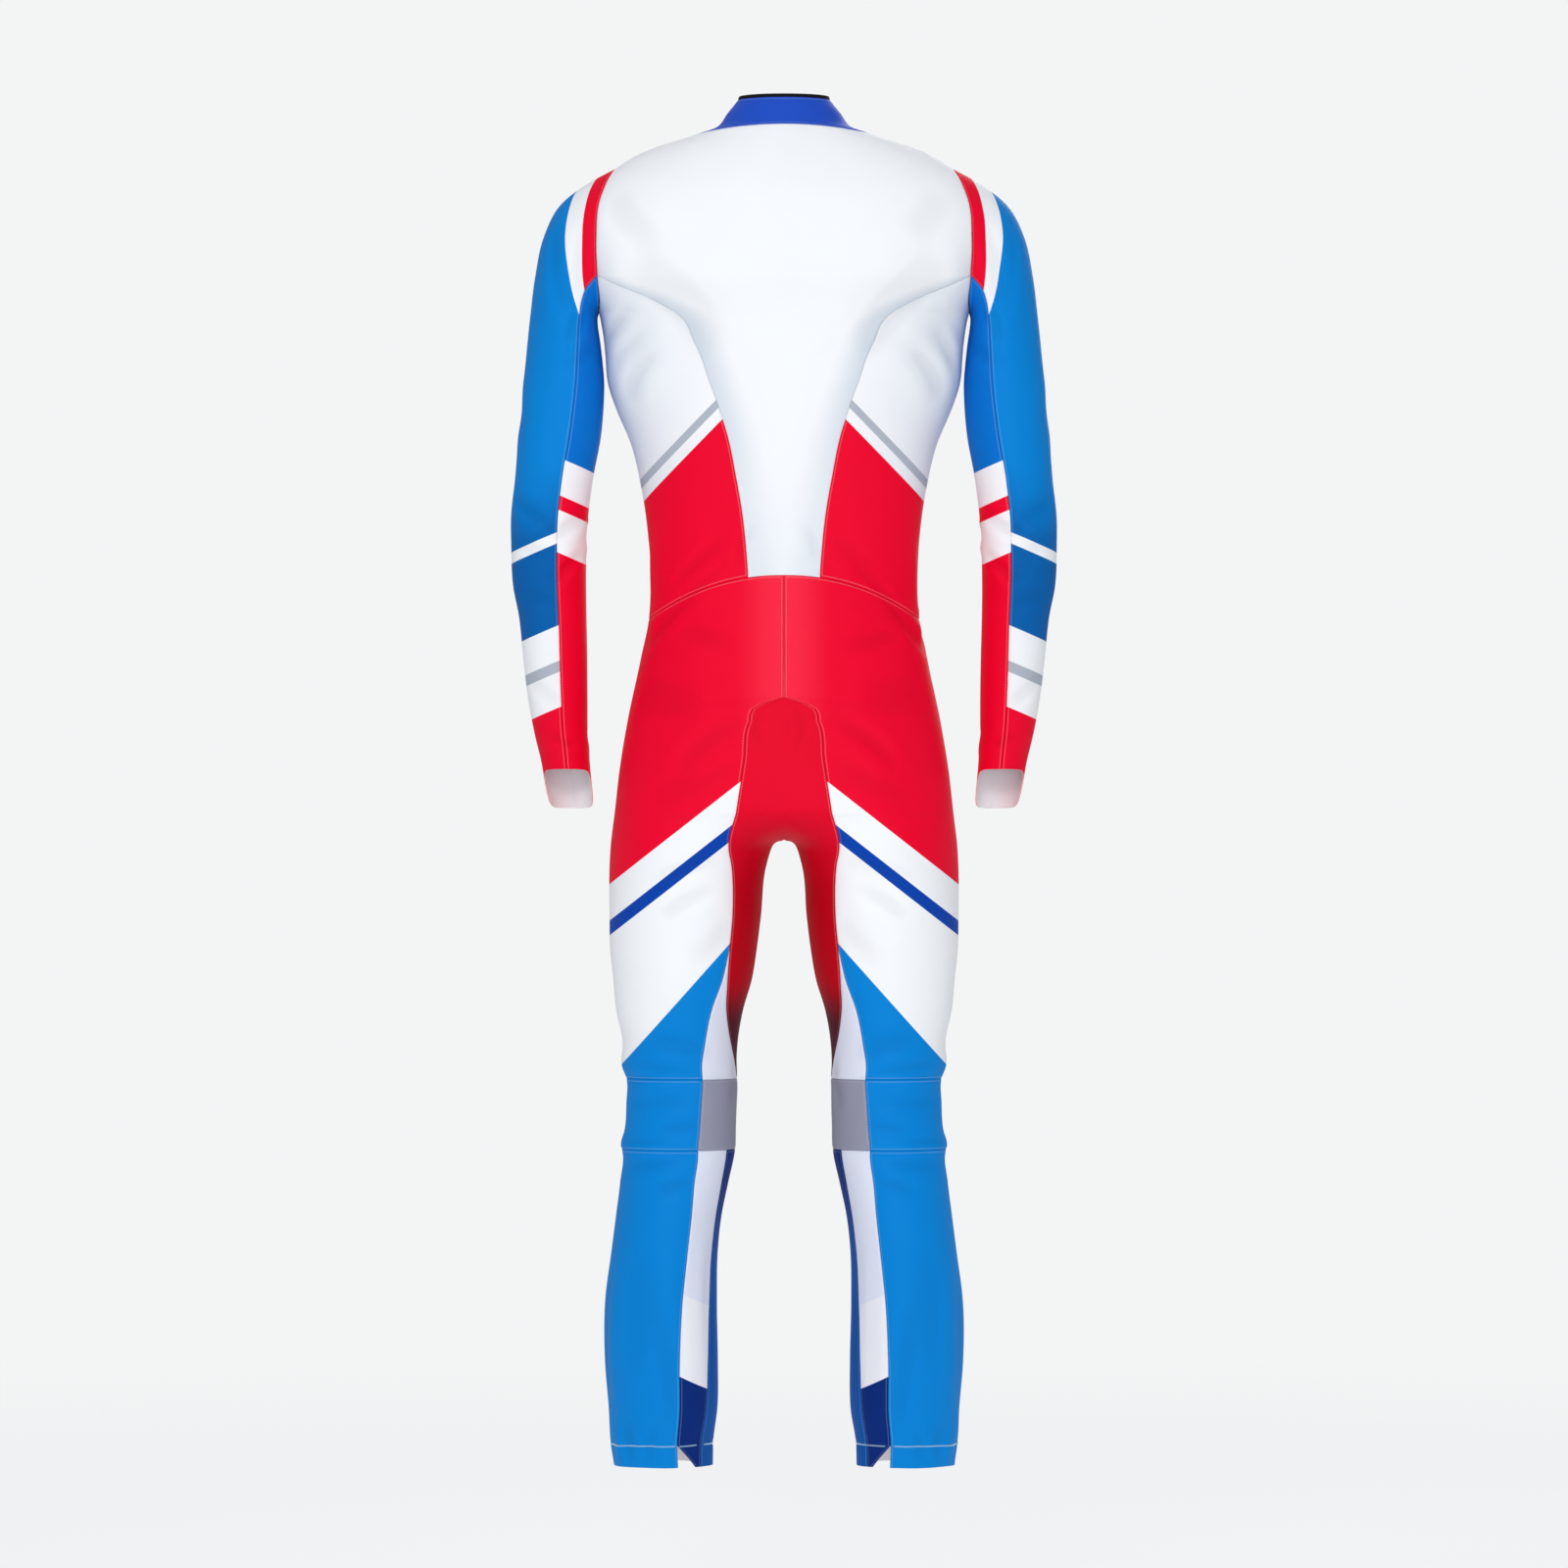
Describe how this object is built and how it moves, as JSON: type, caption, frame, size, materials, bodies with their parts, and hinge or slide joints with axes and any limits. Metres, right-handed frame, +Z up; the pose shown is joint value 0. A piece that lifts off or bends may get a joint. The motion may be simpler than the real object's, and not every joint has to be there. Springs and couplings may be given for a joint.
{
  "type": "ski race suit",
  "caption": "Close-fitting one-piece stretch race suit, hollow and filled out as worn, with a stand collar, long sleeves, full legs and a front zip.",
  "frame": {"origin": "middle of the neckline, level with the collar seam at the nape, where the wearer's neck and shoulders hold the suit up", "axes": "+Z up along the body, +Y towards the front of the suit, +X towards the wearer's right as seen from behind"},
  "size_m": [0.588, 0.236, 1.4733],
  "materials": {
    "white_cloth": "smooth stretch race knit with a slight sheen",
    "blue_cloth": "smooth stretch race knit with a slight sheen",
    "red_cloth": "smooth stretch race knit with a slight sheen",
    "gusset_cloth": "smooth stretch race knit",
    "grey_cloth": "matt stretch knit",
    "pale_grey_cloth": "smooth stretch race knit",
    "navy_cloth": "smooth stretch race knit",
    "collar_cloth": "soft brushed stretch knit",
    "binding": "narrow ribbed binding",
    "zip_tape": "herringbone zip tape",
    "zip_metal": "bright plated metal"
  },
  "bodies": {
    "suit": {"back_centre": "white_cloth", "side_back_right": "red_cloth", "side_back_left": "red_cloth", "front_right": "white_cloth", "front_left": "white_cloth", "seat_and_thigh_right": "red_cloth", "seat_and_thigh_left": "red_cloth", "thigh_front_right": "red_cloth", "thigh_front_left": "red_cloth", "inner_thigh_back_right": "pale_grey_cloth", "inner_thigh_back_left": "pale_grey_cloth", "inner_thigh_front_right": "pale_grey_cloth", "inner_thigh_front_left": "pale_grey_cloth", "gusset": "gusset_cloth", "knee_back_right": "blue_cloth", "knee_back_left": "blue_cloth", "knee_front_right": "blue_cloth", "knee_front_left": "blue_cloth", "knee_patch_right": "grey_cloth", "knee_patch_left": "grey_cloth", "calf_right": "blue_cloth", "calf_left": "blue_cloth", "shin_right": "blue_cloth", "shin_left": "blue_cloth", "calf_strip_right": "pale_grey_cloth", "calf_strip_left": "pale_grey_cloth", "inner_shin_right": "navy_cloth", "inner_shin_left": "navy_cloth", "sleeve_outer_right": "blue_cloth", "sleeve_outer_left": "blue_cloth", "sleeve_inner_right": "blue_cloth", "sleeve_inner_left": "blue_cloth", "collar": "collar_cloth", "collar_binding": "binding", "zip_tape_right": "zip_tape", "zip_tape_left": "zip_tape", "zip_slider": "zip_metal"},
    "pull_tab": {"zip_pull_tab": "zip_metal"}
  },
  "joints": [
    {"name": "pull_tab_hinge", "type": "hinge", "parent": "suit", "child": "pull_tab", "pos_m": [0, 0.06341, -0.02303], "axis": [1, 0, 0], "range_deg": [0, 160]}
  ]
}
